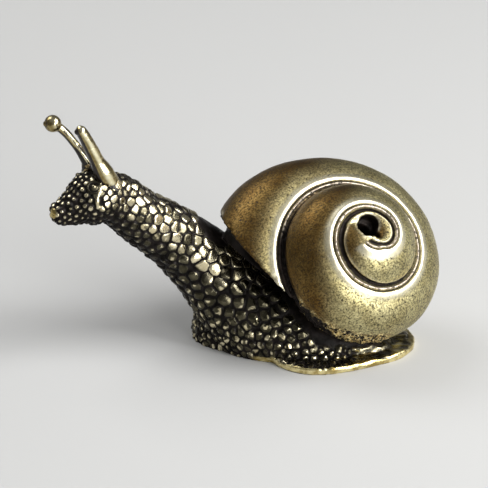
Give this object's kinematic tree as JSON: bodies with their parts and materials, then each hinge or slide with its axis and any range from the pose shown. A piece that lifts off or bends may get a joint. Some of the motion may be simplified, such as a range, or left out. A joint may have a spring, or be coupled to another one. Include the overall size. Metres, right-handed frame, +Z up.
{
  "type": "snail ornament",
  "caption": "Brass snail ornament with a scaled body, a coiled hollow shell soldered on its back, and wire eye stalks.",
  "frame": {"origin": "on the sole that the snail rests on, under the shell's front edge", "axes": "+Z up from the sole, the head points to -X and the tail to +X, and the shell's spire leans to -Y"},
  "size_m": [0.055, 0.0259, 0.0361],
  "materials": {
    "body_brass": "antiqued, scaled",
    "shell_brass": "antiqued satin, pitted",
    "stalk_brass": "rubbed bright",
    "solder": "rough"
  },
  "bodies": {
    "root": {"body_casting": "body_brass", "shell_casting": "shell_brass", "left_eye_stalk": "stalk_brass", "right_eye_stalk": "stalk_brass", "shell_solder": "solder", "left_stalk_solder": "solder", "right_stalk_solder": "solder"}
  },
  "joints": []
}
